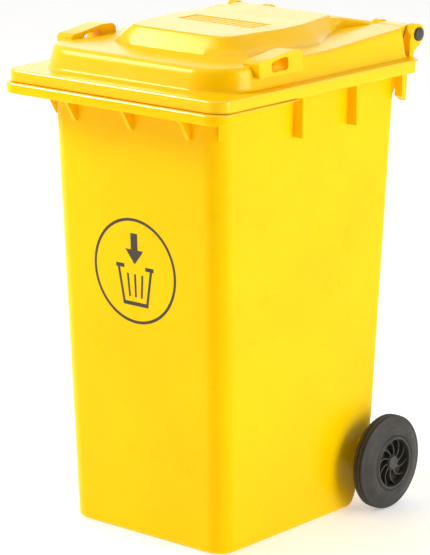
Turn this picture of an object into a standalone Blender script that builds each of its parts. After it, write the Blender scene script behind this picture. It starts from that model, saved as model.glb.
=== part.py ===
"""Two-wheeled refuse container with hinged lid: solid source, metres, +Z up, front faces -Y."""
import bpy
import bmesh
from math import cos, sin, pi, radians, hypot
from mathutils import Vector

MM = 0.001

# ---- driving sizes, millimetres -------------------------------------------------
WALL = 4.5                # moulded wall of the container
EDGE_R = 4.0              # rounding along the upper edges of the lip and the lid flange
GAP = 0.3                 # air left between neighbouring pieces

BODY_HALF_W = 207.0       # half width at the floor
BODY_FRONT = -266.0       # front wall at the floor
BODY_BACK = 216.0         # back wall at the floor
SIDE_DRAFT = 0.0211       # outward lean of each side wall, mm per mm
FRONT_DRAFT = 0.0380
BACK_DRAFT = 0.0558
CORNER_FRONT = 42.0
CORNER_BACK = 20.0
RIM_TOP = 945.7           # top of the open container
NECK_Z = RIM_TOP - 23.7   # where the wall flares into the rim
RIM_HALF_W = BODY_HALF_W + 74.5
RIM_FRONT = -359.5
RIM_BACK = 269.0
RIM_SKIRT_Z = RIM_TOP - 22.7
RIM_CORNER = 30.0
MOUTH_HALF_W = BODY_HALF_W + 42.0  # opening inside the rim
MOUTH_FRONT = RIM_FRONT + 31.5
MOUTH_BACK = RIM_BACK - 12.0

LIP_HALF_W = RIM_HALF_W + 8.5  # comb lifting lip round the front
LIP_FRONT = RIM_FRONT - 14.5
LIP_TOP = RIM_TOP - 21.0
LIP_BOTTOM = LIP_TOP - 20.7
LIP_CORNER = 38.0
LIP_END_Y = -130.0        # where the lip has run out along each side

FIN_T = 9.0               # front fins under the rim
FIN_FRONT = -344.0
FIN_X = 150.0
FIN_FOOT_Z = RIM_TOP - 93.7
RIB_T = 7.0               # upright ribs on the side walls
RIB_Y = (-70.0, 103.0)
RIB_HALF_W = BODY_HALF_W + 40.0
RIB_FOOT_Z = RIM_TOP - 114.7

LID_HALF_W = RIM_HALF_W + 4.5
LID_FRONT = RIM_FRONT - 4.5
LID_BACK = RIM_BACK + 4.5
LID_TOP = RIM_TOP + 4.3
LID_BAND_Z = LID_TOP - 24.0
LID_WALL = 4.0
LID_CORNER = 34.0
LID_HEEL_Y = RIM_BACK - 35.0  # behind this the lid has no skirt

DOME_HALF_W = LID_HALF_W - 30.0
DOME_FRONT = LID_FRONT + 45.0
DOME_BACK = LID_BACK - 5.0
DOME_CORNER = 95.0
DOME_TOP = LID_TOP + 47.0
DOME_RISE = 13.0          # extra height the dome gains towards the hinge
PLATEAU_TOP = LID_TOP + 82.0

AXIS_Y = LID_BACK + 29.5  # hinge axis
AXIS_Z = LID_TOP + 42.0
PIN_R = 6.0
BORE_CLEAR = 0.2
KNUCKLE_R = 18.0
BRACKET_R = KNUCKLE_R + 3.0
KNUCKLE_X = (BODY_HALF_W - 44.0, BODY_HALF_W + 22.0)
OUTER_BRACKET_X = (KNUCKLE_X[1] + 3.0, KNUCKLE_X[1] + 21.0)
INNER_BRACKET_X = (KNUCKLE_X[0] - 23.0, KNUCKLE_X[0] - 3.0)
CAP_R = PIN_R + 8.2
HANDLE_R = 14.0

WHEEL_R = 100.0
AXLE_R = 11.0
AXLE_Y = BODY_BACK - 14.0
AXLE_Z = WHEEL_R          # the wheels stand on the floor
ARCH_R = WHEEL_R + 20.0            # where the wheel recess starts on the side wall
TUNNEL_Y = BODY_BACK - 28.0  # back face of the low part of the container
TUNNEL_Z = AXLE_Z + 40.0  # roof of the axle tunnel
LUG_X = (BODY_HALF_W - 57.0, BODY_HALF_W + 4.0)
LUG_R = AXLE_R + 9.0
HUB_IN = LUG_X[1] + 25.0
HUB_OUT = HUB_IN + 48.0
AXLE_HALF = HUB_IN + 36.0
TYRE_SEAT_R = 58.0
BOSS_R = AXLE_R + 5.5
LATCH_X = HUB_IN + 12.0
LATCH_R = 3.0
LATCH_END_R = AXLE_R + 17.0  # inner boss of the hub, where the latch plug ends
SEG = 48

YELLOW = (0.98, 0.72, 0.01, 1.0)
BLACK = (0.035, 0.033, 0.030, 1.0)
HUBGREY = (0.075, 0.070, 0.062, 1.0)
PINGREY = (0.11, 0.11, 0.11, 1.0)
STEEL = (0.55, 0.56, 0.58, 1.0)


# ---- small helpers --------------------------------------------------------------
def material(name, colour, rough=0.4, metal=0.0):
    """A Principled material."""
    mat = bpy.data.materials.new(name)
    mat.use_nodes = True
    bsdf = mat.node_tree.nodes["Principled BSDF"]
    bsdf.inputs["Base Color"].default_value = colour
    bsdf.inputs["Roughness"].default_value = rough
    bsdf.inputs["Metallic"].default_value = metal
    mat.diffuse_color = colour
    return mat


def make(name, verts, faces):
    """An object from millimetre vertices; normals are made consistent."""
    mesh = bpy.data.meshes.new(name)
    mesh.from_pydata([tuple(c * MM for c in v) for v in verts], [], faces)
    bm = bmesh.new()
    bm.from_mesh(mesh)
    bmesh.ops.recalc_face_normals(bm, faces=bm.faces)
    bm.to_mesh(mesh)
    bm.free()
    obj = bpy.data.objects.new(name, mesh)
    bpy.context.scene.collection.objects.link(obj)
    return obj


def arc(cx, cy, r, a0, a1, n):
    """Points on a circle from angle a0 to a1, degrees."""
    return [(cx + r * cos(radians(a0 + (a1 - a0) * i / n)), cy + r * sin(radians(a0 + (a1 - a0) * i / n)))
            for i in range(n + 1)]


def half_rect(hw, yf, yb, rf, rb, n=5, stations=()):
    """Right half of a rounded rectangle, front to back."""
    pts = arc(hw - rf, yf + rf, rf, -90, 0, n)
    pts += [(hw, y) for y in stations if yf + rf < y < yb - rb]
    pts += arc(hw - rb, yb - rb, rb, 0, 90, n)
    return pts


def loft(name, levels, split=False):
    """Closed solid through half outlines mirrored in X; a level is (half points, z or z(y)).

    With split, side faces are cut into triangles along mirrored diagonals, so that an inner
    and an outer skin made the same way stay parallel.
    """
    verts, n = [], len(levels[0][0])
    for half, z in levels:
        zf = z if callable(z) else (lambda y, z=z: z)
        verts += [(x, y, zf(y)) for x, y in half]
        verts += [(-x, y, zf(y)) for x, y in reversed(half)]
    faces, m = [], 2 * n
    for k in range(len(levels) - 1):
        a, b = k * m, (k + 1) * m
        for i in range(m):
            j = (i + 1) % m
            if not split:
                faces.append((a + i, a + j, b + j, b + i))
            elif i < n:
                faces += [(a + i, a + j, b + j), (a + i, b + j, b + i)]
            else:
                faces += [(a + i, a + j, b + i), (a + j, b + j, b + i)]
    for base in (0, (len(levels) - 1) * m):
        for i in range(n - 1):
            faces.append((base + i, base + i + 1, base + m - 2 - i, base + m - 1 - i))
    return make(name, verts, faces)


def prism(name, pts, lo, hi, axis="z"):
    """Extrude an outline; for axis x the outline is (y, z), for axis z it is (x, y)."""
    n = len(pts)
    if axis == "z":
        verts = [(a, b, lo) for a, b in pts] + [(a, b, hi) for a, b in pts]
    else:
        verts = [(lo, a, b) for a, b in pts] + [(hi, a, b) for a, b in pts]
    faces = [tuple(range(n)), tuple(range(n, 2 * n))]
    faces += [(i, (i + 1) % n, n + (i + 1) % n, n + i) for i in range(n)]
    return make(name, verts, faces)


def box(name, x0, x1, y0, y1, z0, z1):
    """Axis-aligned block."""
    return prism(name, [(x0, y0), (x1, y0), (x1, y1), (x0, y1)], z0, z1)


def hull(name, pts):
    """Convex hull of a few points."""
    bm = bmesh.new()
    for p in pts:
        bm.verts.new([c * MM for c in p])
    bmesh.ops.convex_hull(bm, input=bm.verts)
    loose = [v for v in bm.verts if not v.link_faces]
    bmesh.ops.delete(bm, geom=loose, context="VERTS")
    mesh = bpy.data.meshes.new(name)
    bm.to_mesh(mesh)
    bm.free()
    obj = bpy.data.objects.new(name, mesh)
    bpy.context.scene.collection.objects.link(obj)
    return obj


def turned(name, profile, y, z, seg=SEG, ring=False):
    """Solid turned about an X-direction axis; profile is (x, r), ring closes it as a tube."""
    verts, faces, rows = [], [], []
    for x, r in profile:
        if r < 1e-6:
            rows.append([len(verts)])
            verts.append((x, y, z))
        else:
            rows.append(list(range(len(verts), len(verts) + seg)))
            verts += [(x, y + r * cos(2 * pi * k / seg), z + r * sin(2 * pi * k / seg)) for k in range(seg)]
    pairs = list(zip(rows, rows[1:])) + ([(rows[-1], rows[0])] if ring else [])
    for a, b in pairs:
        for k in range(seg):
            j = (k + 1) % seg
            if len(a) == 1 and len(b) == 1:
                continue
            if len(a) == 1:
                faces.append((a[0], b[k], b[j]))
            elif len(b) == 1:
                faces.append((a[k], a[j], b[0]))
            else:
                faces.append((a[k], a[j], b[j], b[k]))
    return make(name, verts, faces)


def rod(name, x0, x1, r, y, z, seg=32):
    """Plain cylinder along X."""
    return turned(name, [(x0, 0), (x0, r), (x1, r), (x1, 0)], y, z, seg)


def post(name, x, y, z0, z1, r, seg=20):
    """Plain cylinder along Z."""
    return prism(name, [(x + r * cos(2 * pi * k / seg), y + r * sin(2 * pi * k / seg)) for k in range(seg)], z0, z1)


def combine(target, others, op):
    """Apply a Boolean of every helper to the target, then drop the helpers."""
    for other in others:
        mod = target.modifiers.new("bool", "BOOLEAN")
        mod.operation = op
        mod.solver = "EXACT"
        mod.object = other
        other.hide_render = True
        other.display_type = "WIRE"
        dg = bpy.context.evaluated_depsgraph_get()
        mesh = bpy.data.meshes.new_from_object(target.evaluated_get(dg))
        target.modifiers.clear()
        target.data = mesh
        bpy.data.objects.remove(other, do_unlink=True)
    return target


def clean(obj):
    """Merge doubled vertices and dissolve slivers left by the Booleans."""
    bm = bmesh.new()
    bm.from_mesh(obj.data)
    bmesh.ops.remove_doubles(bm, verts=bm.verts, dist=2e-6)
    bmesh.ops.dissolve_degenerate(bm, edges=bm.edges, dist=2e-6)
    bmesh.ops.triangulate(bm, faces=[f for f in bm.faces if len(f.verts) > 4])
    bmesh.ops.recalc_face_normals(bm, faces=bm.faces)
    bm.to_mesh(obj.data)
    bm.free()
    return obj


def finish(obj, name, mat):
    """Name a piece and give it its own material."""
    clean(obj)
    obj.name = name
    obj.data.name = name
    obj.data.materials.clear()
    obj.data.materials.append(mat)
    return obj


def inset(half, d):
    """Move a mirrored half outline inwards by about d."""
    out, n = [], len(half)
    for i, (x, y) in enumerate(half):
        xa, ya = half[i - 1] if i > 0 else (half[0][0] - 30, half[0][1])
        xb, yb = half[i + 1] if i < n - 1 else (half[-1][0] - 30, half[-1][1])
        tx, ty = xb - xa, yb - ya
        ln = hypot(tx, ty) or 1.0
        nx, ny = ty / ln, -tx / ln
        out.append((x - nx * d, y - ny * d))
    return out


def body_half(z, grow=0.0):
    """Half outline of the container wall at height z, grown outwards by grow."""
    return half_rect(BODY_HALF_W + SIDE_DRAFT * z + grow, BODY_FRONT - FRONT_DRAFT * z - grow,
                     BODY_BACK + BACK_DRAFT * z + grow, max(CORNER_FRONT + grow, 5), max(CORNER_BACK + grow, 5))


def wheel_well(name, side, grow=0.0):
    """Round cutter whose flank rolls in from the side wall towards the axle."""
    a, outer = ARCH_R + grow, BODY_HALF_W + 2.5
    prof = [(outer + 30, 0), (outer + 30, a), (outer, a), (outer - 1.5, a - 15), (outer - 4, a - 32),
            (outer - 7, a - 50), (outer - 10, a - 68), (outer - 12, a - 84), (outer - 12, 0)]
    prof = [(side * (x - (grow if i > 2 else 0)), r) for i, (x, r) in enumerate(prof)]
    return turned(name, prof, AXLE_Y, AXLE_Z, SEG)


def tunnel(name, grow=0.0):
    """Cutter for the space behind the low part of the container, where the axle runs."""
    zt = TUNNEL_Z + grow
    reach = BODY_HALF_W + 53
    block = box(name, -reach, reach, TUNNEL_Y - 88, TUNNEL_Y + 142, -20, zt)
    keep = []
    for z, back in ((-25, 62.0), (0, 40.0), (6, 29.0), (14, 21.0), (28, 13.0), (50, 6.0), (85, 0.5), (zt + 5, 0.0)):
        keep.append((half_rect(BODY_HALF_W + SIDE_DRAFT * z + 1.5, BODY_FRONT - 134, TUNNEL_Y - back - grow, 20, 18, 6), z))
    return combine(block, [loft(name + "_keep", keep)], "DIFFERENCE")


# ---- container body -------------------------------------------------------------
def container(mat):
    """Hollow tapered container with rim, lifting lip, gussets, hinge brackets and axle lugs."""
    outer = loft("outer", [(body_half(0, -9), 0), (body_half(2.5, -3), 2.5), (body_half(8), 8),
                           (body_half(NECK_Z), NECK_Z),
                           (half_rect(MOUTH_HALF_W + 5, MOUTH_FRONT - 5, MOUTH_BACK + 5, 40, 20), NECK_Z + 18),
                           (half_rect(MOUTH_HALF_W + 5, MOUTH_FRONT - 5, MOUTH_BACK + 5, 40, 20), RIM_TOP)])
    # the rim: plate and skirt under the lid
    rim = loft("rim", [(half_rect(RIM_HALF_W, RIM_FRONT, RIM_BACK, RIM_CORNER, 24), RIM_SKIRT_Z),
                       (half_rect(RIM_HALF_W, RIM_FRONT, RIM_BACK, RIM_CORNER, 24), RIM_TOP - 1),
                       (half_rect(RIM_HALF_W - 1, RIM_FRONT + 1, RIM_BACK - 1, RIM_CORNER - 1, 23), RIM_TOP)])
    under = loft("under", [(half_rect(RIM_HALF_W - 4, RIM_FRONT + 4, RIM_BACK - 4, RIM_CORNER - 4, 20), RIM_SKIRT_Z - 33),
                           (half_rect(RIM_HALF_W - 4, RIM_FRONT + 4, RIM_BACK - 4, RIM_CORNER - 4, 20), RIM_TOP - 4)])
    lip = loft("lip", [(half_rect(LIP_HALF_W - 1.2, LIP_FRONT + 1.2, LIP_END_Y, LIP_CORNER, 2), LIP_BOTTOM),
                       (half_rect(LIP_HALF_W, LIP_FRONT, LIP_END_Y, LIP_CORNER, 2), LIP_BOTTOM + 1.5),
                       (half_rect(LIP_HALF_W, LIP_FRONT, LIP_END_Y, LIP_CORNER, 2), LIP_TOP - EDGE_R),
                       (half_rect(LIP_HALF_W - EDGE_R * 0.3, LIP_FRONT + EDGE_R * 0.3, LIP_END_Y, LIP_CORNER, 2),
                        LIP_TOP - EDGE_R * 0.3),
                       (half_rect(LIP_HALF_W - EDGE_R, LIP_FRONT + EDGE_R, LIP_END_Y, LIP_CORNER, 2), LIP_TOP)])
    wedge = prism("wedge", [(-322, LIP_BOTTOM - 54), (-322, LIP_BOTTOM - 0.4), (-118, LIP_TOP + 0.3), (-118, LIP_BOTTOM - 54)],
                  -LIP_HALF_W - 30, LIP_HALF_W + 30, "x")
    combine(lip, [wedge], "DIFFERENCE")
    lip_in = loft("lip_in", [(half_rect(LIP_HALF_W - 4.5, LIP_FRONT + 4.5, 0, LIP_CORNER - 4, 2), LIP_BOTTOM - 24),
                             (half_rect(LIP_HALF_W - 4.5, LIP_FRONT + 4.5, 0, LIP_CORNER - 4, 2), LIP_TOP - 5.5)])
    combine(rim, [lip], "UNION")
    combine(rim, [under, lip_in], "DIFFERENCE")
    combine(outer, [rim], "UNION")

    # gussets that carry the rim: three fins in front, two upright ribs a side, tapered corners
    ribs = []
    for x in (-FIN_X, 0.0, FIN_X):
        h = FIN_T / 2
        ribs.append(hull("rib", [(x + a, y, z) for a in (-h, h) for y, z in
                                 ((BODY_FRONT - 26, RIM_TOP - 2), (FIN_FRONT, RIM_TOP - 2), (FIN_FRONT, LIP_BOTTOM + 12),
                                  (BODY_FRONT - 37, FIN_FOOT_Z), (BODY_FRONT - 26, FIN_FOOT_Z))]))
    for s in (-1, 1):
        for y in RIB_Y:
            ribs.append(hull("rib", [(s * a, y + b, z) for a in (BODY_HALF_W + 11, RIB_HALF_W) for b in (0, RIB_T)
                                     for z in (RIB_FOOT_Z, RIM_TOP - 2)]))
        for cy, sy in ((BODY_FRONT - 12, -1), (BODY_BACK + 27, 1)):
            cx = BODY_HALF_W + 7
            d = (s * 0.72, sy * 0.69)
            p = (-d[1], d[0])
            tip = 36 if sy < 0 else 30
            ribs.append(hull("rib", [(s * cx + d[0] * a + p[0] * b, cy + d[1] * a + p[1] * b, z)
                                     for a, z in ((0, RIM_TOP - 2), (0, FIN_FOOT_Z), (8, FIN_FOOT_Z + 6), (tip, RIM_TOP - 25.7),
                                                  (tip, RIM_TOP - 2)) for b in (-7, 7)]))
    combine(outer, ribs, "UNION")

    # hinge brackets and the bar between them
    parts = []
    for s in (-1, 1):
        for x0, x1 in (OUTER_BRACKET_X, INNER_BRACKET_X):
            ya = LID_BACK + 1.6
            pts = [(RIM_BACK - 19, RIM_TOP - 75.7), (RIM_BACK - 19, RIM_TOP - 27.7), (ya, RIM_TOP - 24.7), (ya, AXIS_Z - 10)]
            pts += arc(AXIS_Y, AXIS_Z, BRACKET_R, 170, -50, 14)
            pts += [(AXIS_Y - 12.5, AXIS_Z - 34), (AXIS_Y - 20, AXIS_Z - 55), (RIM_BACK - 1, RIM_TOP - 30.2),
                    (RIM_BACK - 5, RIM_TOP - 86.7)]
            parts.append(prism("bracket", pts, min(s * x0, s * x1), max(s * x0, s * x1), "x"))
    parts.append(rod("bar", -INNER_BRACKET_X[0] - 4, INNER_BRACKET_X[0] + 4, HANDLE_R, AXIS_Y, AXIS_Z))
    combine(outer, parts, "UNION")

    # space inside, then the axle tunnel and wheel wells taken from the outside
    inner = loft("inner", [(body_half(0, -WALL - 9), 6.5), (body_half(4, -WALL - 2), 9), (body_half(16, -WALL), 16),
                           (body_half(NECK_Z + 2, -WALL), NECK_Z + 2),
                           (half_rect(MOUTH_HALF_W, MOUTH_FRONT, MOUTH_BACK, 36, 16), NECK_Z + 20),
                           (half_rect(MOUTH_HALF_W, MOUTH_FRONT, MOUTH_BACK, 36, 16), RIM_TOP + 14.3)])
    combine(inner, [tunnel("t1", WALL), wheel_well("w1", 1, WALL), wheel_well("w2", -1, WALL)], "DIFFERENCE")
    combine(outer, [inner], "DIFFERENCE")
    combine(outer, [tunnel("t0"), wheel_well("w3", 1), wheel_well("w4", -1)], "DIFFERENCE")

    # axle lugs under the roof of the tunnel
    lugs = []
    for s in (-1, 1):
        a, b = sorted((s * LUG_X[0], s * LUG_X[1]))
        lugs.append(rod("lug", a, b, LUG_R, AXLE_Y, AXLE_Z))
        for x in (LUG_X[0] + 4, LUG_X[0] + 27, LUG_X[0] + 50):
            lugs.append(prism("web", [(TUNNEL_Y - 3, AXLE_Z - 22), (AXLE_Y + 4, AXLE_Z - 15.5), (AXLE_Y + 16, AXLE_Z), (AXLE_Y + 20, TUNNEL_Z + 3),
                                      (TUNNEL_Y - 3, TUNNEL_Z + 3)], s * x - 2.5, s * x + 2.5, "x"))
    combine(outer, lugs, "UNION")
    cuts = [rod("bore", -LUG_X[1] - 19, LUG_X[1] + 19, AXLE_R + GAP, AXLE_Y, AXLE_Z)]
    for s in (-1, 1):
        a, b = sorted((s * (INNER_BRACKET_X[0] + 5), s * (OUTER_BRACKET_X[1] + 12)))
        cuts.append(rod("pinbore", a, b, PIN_R + BORE_CLEAR, AXIS_Y, AXIS_Z))
    combine(outer, cuts, "DIFFERENCE")
    return finish(outer, "container_body", mat)


# ---- lid ------------------------------------------------------------------------
def dome_z(y, base, top):
    """Height of a dome level: the roof climbs towards the hinge."""
    rise = DOME_RISE * min(max((y - 20.0) / 230.0, 0.0), 1.0)
    return base + (top - base) * (1.0 + rise / (DOME_TOP - LID_TOP))


def dome_levels(d):
    """Levels of the dome, shrunk inwards by d."""
    st = (-180, -60, 20, 80, 140, 200)
    rows = [(LID_TOP - 4, -6.0), (LID_TOP, -6.0), (LID_TOP + 2.4, -2.0), (LID_TOP + 6.5, 0.0), (LID_TOP + 32, 6.0),
            (DOME_TOP - 8, 7.6), (DOME_TOP - 3.4, 10.2), (DOME_TOP - 0.8, 14.4), (DOME_TOP, 20.0)]
    out = []
    for z, lean in rows:
        k = lean + d
        half = half_rect(DOME_HALF_W - k * 0.75 - d * 0.25, DOME_FRONT + k + lean * 0.4, DOME_BACK - d - lean * 0.4,
                         DOME_CORNER - k, max(26 - d, 10), 7, st)
        zz = z - d if z > LID_TOP else z - (8 if d else 0)
        out.append((half, (lambda y, zz=zz: dome_z(y, LID_TOP, zz)) if zz > LID_TOP else zz))
    return out


def from_side(rows):
    """Half outline from (distance in from the dome's side, y) rows."""
    return [(DOME_HALF_W - a, y) for a, y in rows]


TOP_HALF = from_side([(164, -169), (138, -165), (125, -146), (107, -20), (109, 45), (130, 135), (144, 184), (158, 193)])
BASE_HALF = from_side([(160, -195), (106, -187), (74, -152), (59, -30), (53, 50), (85, 116), (116, 184), (126, 200)])
SPINE_HALF = from_side([(144, 140), (132, 178), (122, 200), (92, 244), (86, 262), (88, 268)])


def finer(half, k=3):
    """The same outline with k steps along each edge."""
    out = []
    for (x0, y0), (x1, y1) in zip(half, half[1:]):
        out += [(x0 + (x1 - x0) * i / k, y0 + (y1 - y0) * i / k) for i in range(k)]
    return out + [half[-1]]


def plateau_levels(d):
    """Levels of the raised panel on the dome, with an inner skin when d is the wall."""
    e = d * 0.6
    base, top = finer(BASE_HALF), finer(TOP_HALF)
    mid = [((a + c) / 2, (b + f) / 2) for (a, b), (c, f) in zip(base, top)]
    return [(inset(base, e), DOME_TOP - 13 - (12 if d else 0)), (inset(base, e + 1), DOME_TOP - 1 - d),
            (inset(mid, e), PLATEAU_TOP - 19.7 - d),
            (inset(top, e - 1.5), PLATEAU_TOP - 3.5 - d), (inset(top, e + 2), PLATEAU_TOP - d)]


def spine_z(drop):
    """Roof of the ramp from the raised panel down to the hinge."""
    return lambda y: PLATEAU_TOP - 4 - drop - max(0.0, y - 190.0) * 0.24


def raised(rows):
    """Outline from (y, height above the lid flange) rows."""
    return [(y, LID_TOP + h) for y, h in rows]


def lid(mat):
    """Lid shell: flange band, dome, raised panel with label recess, grips and hinge knuckles."""
    shell = loft("lid", [(half_rect(LID_HALF_W - 0.8, LID_FRONT + 0.8, LID_BACK - 0.8, LID_CORNER, 26), LID_BAND_Z),
                         (half_rect(LID_HALF_W, LID_FRONT, LID_BACK, LID_CORNER, 26), LID_BAND_Z + 1),
                         (half_rect(LID_HALF_W, LID_FRONT, LID_BACK, LID_CORNER, 26), LID_TOP - EDGE_R),
                         (half_rect(LID_HALF_W - EDGE_R * 0.3, LID_FRONT + EDGE_R * 0.3, LID_BACK - 0.4, LID_CORNER - 1, 26),
                          LID_TOP - EDGE_R * 0.3),
                         (half_rect(LID_HALF_W - EDGE_R, LID_FRONT + EDGE_R, LID_BACK - 1, LID_CORNER - 3, 25), LID_TOP)])
    ramp = loft("ramp", [(SPINE_HALF, DOME_TOP - 13), (SPINE_HALF, spine_z(3)), (inset(SPINE_HALF, 4), spine_z(0))])
    adds = [loft("dome", dome_levels(0.0)), loft("plateau", plateau_levels(0.0), True), ramp]
    for s in (-1, 1):
        grip = prism("grip", raised([(-226, 25), (-228, 51), (-222, 56), (-196, 58.5), (-136, 67), (-104, 65.5),
                                     (-95, 58), (-93, 22)]), *sorted((s * (DOME_HALF_W - 30), s * (DOME_HALF_W + 10))), "x")
        adds.append(grip)
        x0, x1 = sorted((s * KNUCKLE_X[0], s * KNUCKLE_X[1]))
        adds.append(prism("arm", [(AXIS_Y + a, AXIS_Z + b) for a, b in
                                  ((-45, 2 - KNUCKLE_R), (-11, 0.6 - KNUCKLE_R), (0, 0.2 - KNUCKLE_R), (0, KNUCKLE_R - 0.2),
                                   (-13, KNUCKLE_R + 0.5), (-45, KNUCKLE_R - 4))], x0, x1, "x"))
        adds.append(rod("knuckle", x0, x1, KNUCKLE_R, AXIS_Y, AXIS_Z))
    combine(shell, adds, "UNION")

    hollow = loft("h0", dome_levels(LID_WALL))
    combine(hollow, [loft("h1", plateau_levels(LID_WALL), True),
                     loft("h2", [(inset(SPINE_HALF, 4), DOME_TOP - 27), (inset(SPINE_HALF, 4), spine_z(6.5))])], "UNION")
    solid = []
    for s in (-1, 1):
        solid.append(prism("pad", raised([(-196, 10), (-196, 80), (-133, 80), (-133, 10)]),
                           *sorted((s * (DOME_HALF_W - 49), s * (DOME_HALF_W + 19))), "x"))
    combine(hollow, solid, "DIFFERENCE")
    flange = loft("h3", [(half_rect(LID_HALF_W - 4, LID_FRONT + 4, LID_BACK - 4, LID_CORNER - 4, 22), LID_BAND_Z - 11),
                         (half_rect(LID_HALF_W - 4, LID_FRONT + 4, LID_BACK - 4, LID_CORNER - 4, 22), LID_TOP - 4)])
    cuts = [hollow, flange]
    # no skirt round the back, where it would swing into the rim as the lid opens
    cuts.append(box("heel", -LID_HALF_W - 14, LID_HALF_W + 14, LID_HEEL_Y, LID_BACK + 16.5, LID_BAND_Z - 26, LID_TOP - 3.6))
    for s in (-1, 1):
        cuts.append(prism("finger", raised([(-190, 35), (-190, 49), (-182, 52.5), (-148, 57.5), (-139, 54), (-139, 35),
                                            (-146, 31), (-183, 31)]), *sorted((s * (DOME_HALF_W - 44), s * (DOME_HALF_W + 19))), "x"))
        a, b = sorted((s * (KNUCKLE_X[0] - 8), s * (KNUCKLE_X[1] + 6)))
        cuts.append(rod("pinbore", a, b, PIN_R + BORE_CLEAR, AXIS_Y, AXIS_Z))
    combine(shell, cuts, "DIFFERENCE")
    label = box("label", -100, 100, -48, 12, PLATEAU_TOP - 1.6, PLATEAU_TOP + 5)
    bars = [box("bar", -92, 92, y - 2.5, y + 2.5, PLATEAU_TOP - 2.8, PLATEAU_TOP - 0.6) for y in (-34, -18, -2)]
    combine(shell, [label], "DIFFERENCE")
    combine(shell, bars, "UNION")
    return finish(shell, "lid", mat)


# ---- hinge pins -----------------------------------------------------------------
def cap_solid(s, side, grey):
    """Cap with a blind socket, closed by its own annular back."""
    c0, c1, xs = OUTER_BRACKET_X[1] + GAP, OUTER_BRACKET_X[1] + 6.6, OUTER_BRACKET_X[1] + 3.0 + GAP
    prof = [(s * xs, 0), (s * xs, PIN_R + 0.2), (s * c0, PIN_R + 0.2), (s * c0, CAP_R), (s * (c1 - 1.6), CAP_R),
            (s * (c1 - 0.5), CAP_R - 0.6), (s * c1, CAP_R - 1.8), (s * c1, 0)]
    finish(turned("cap", prof, AXIS_Y, AXIS_Z, 32), "hinge_cap_" + side, grey)


def hinge_pin(s, side, steel):
    """Pin through both brackets and the lid knuckle."""
    x_in, x_out = INNER_BRACKET_X[0] + 6, OUTER_BRACKET_X[1] + 3.0
    prof = [(s * x_in, 0), (s * x_in, PIN_R - 1), (s * (x_in + 1), PIN_R), (s * x_out, PIN_R), (s * x_out, 0)]
    finish(turned("pin", prof, AXIS_Y, AXIS_Z, 24), "hinge_pin_" + side, steel)


# ---- running gear ---------------------------------------------------------------
def axle(mat):
    """Steel axle with a groove near each end for the wheel latch."""
    g = LATCH_R + 0.5
    half = [(LATCH_X - g, AXLE_R), (LATCH_X - g, AXLE_R - 2), (LATCH_X + g, AXLE_R - 2), (LATCH_X + g, AXLE_R),
            (AXLE_HALF - 1.5, AXLE_R), (AXLE_HALF, AXLE_R - 1.5), (AXLE_HALF, 0)]
    prof = [(-x, r) for x, r in reversed(half)] + half
    return finish(turned("axle", prof, AXLE_Y, AXLE_Z, 32), "axle", mat)


def spacer(s, side, mat):
    """Sleeve between the container's lug and the wheel hub."""
    x0, x1 = LUG_X[1] + GAP, HUB_IN - GAP
    prof = [(s * x0, AXLE_R + GAP), (s * x0, AXLE_R + 5), (s * x1, AXLE_R + 5), (s * x1, AXLE_R + GAP)]
    return finish(turned("spacer", prof, AXLE_Y, AXLE_Z, 32, ring=True), "axle_spacer_" + side, mat)


def hub(s, side, mat):
    """Wheel hub: boss, web with curved vanes and stepped rim ring."""
    bore, seat = AXLE_R + GAP, TYRE_SEAT_R
    prof = [(0, bore), (0, LATCH_END_R), (24, LATCH_END_R), (24, seat - 7), (5, seat - 7), (3.5, seat - 5.5), (3.5, seat - 1),
            (4.5, seat), (44, seat), (45.5, seat - 1.5), (45.5, seat - 3.5), (47.5, seat - 4), (47.5, seat - 6.5),
            (46.5, seat - 7.5), (28, seat - 8), (28, BOSS_R), (41, BOSS_R), (41, bore)]
    obj = turned("hub", [(s * (HUB_IN + x), r) for x, r in prof], AXLE_Y, AXLE_Z, SEG, ring=True)
    vanes = []
    for k in range(10):
        a0 = 2 * pi * k / 10
        line = []
        for i in range(6):
            t = i / 5.0
            r = BOSS_R - 0.8 + (seat - 6.6 - BOSS_R) * t
            a = a0 + s * 0.62 * t ** 1.6
            line.append((r, a))
        left, right = [], []
        for i, (r, a) in enumerate(line):
            w = 1.25 / r
            left.append((AXLE_Y + r * cos(a + w), AXLE_Z + r * sin(a + w)))
            right.append((AXLE_Y + r * cos(a - w), AXLE_Z + r * sin(a - w)))
        pts = left + right[::-1]
        vanes.append(prism("vane", pts, *sorted((s * (HUB_IN + 26), s * (HUB_IN + 40))), "x"))
    combine(obj, vanes, "UNION")
    pocket = post("pocket", s * LATCH_X, AXLE_Y, AXLE_Z + AXLE_R - 5, AXLE_Z + AXLE_R + 23, LATCH_R + 0.3)
    combine(obj, [pocket], "DIFFERENCE")
    return finish(obj, "wheel_hub_" + side, mat)


def tyre(s, side, mat):
    """Rubber tyre: grooved tread and conical side walls."""
    r0, r1 = TYRE_SEAT_R + GAP, WHEEL_R
    prof = [(5, r0), (3, r0 + 2.5), (2, r0 + 7.7), (3.5, r0 + 13.7), (11.5, r1 - 8), (13, r1 - 3), (15, r1 - 0.6), (20, r1),
            (21, r1 - 1.8), (23, r1 - 1.8), (24, r1), (29, r1), (30, r1 - 1.8), (31.5, r1 - 1.8), (32.2, r1 - 0.3),
            (34, r1 - 0.8), (35.3, r1 - 3), (36.5, r1 - 8), (45, r0 + 13.7), (46.4, r0 + 7.7), (45.8, r0 + 2.5), (44, r0)]
    return finish(turned("tyre", [(s * (HUB_IN + x), r) for x, r in prof], AXLE_Y, AXLE_Z, SEG, ring=True), "wheel_tyre_" + side, mat)


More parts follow.
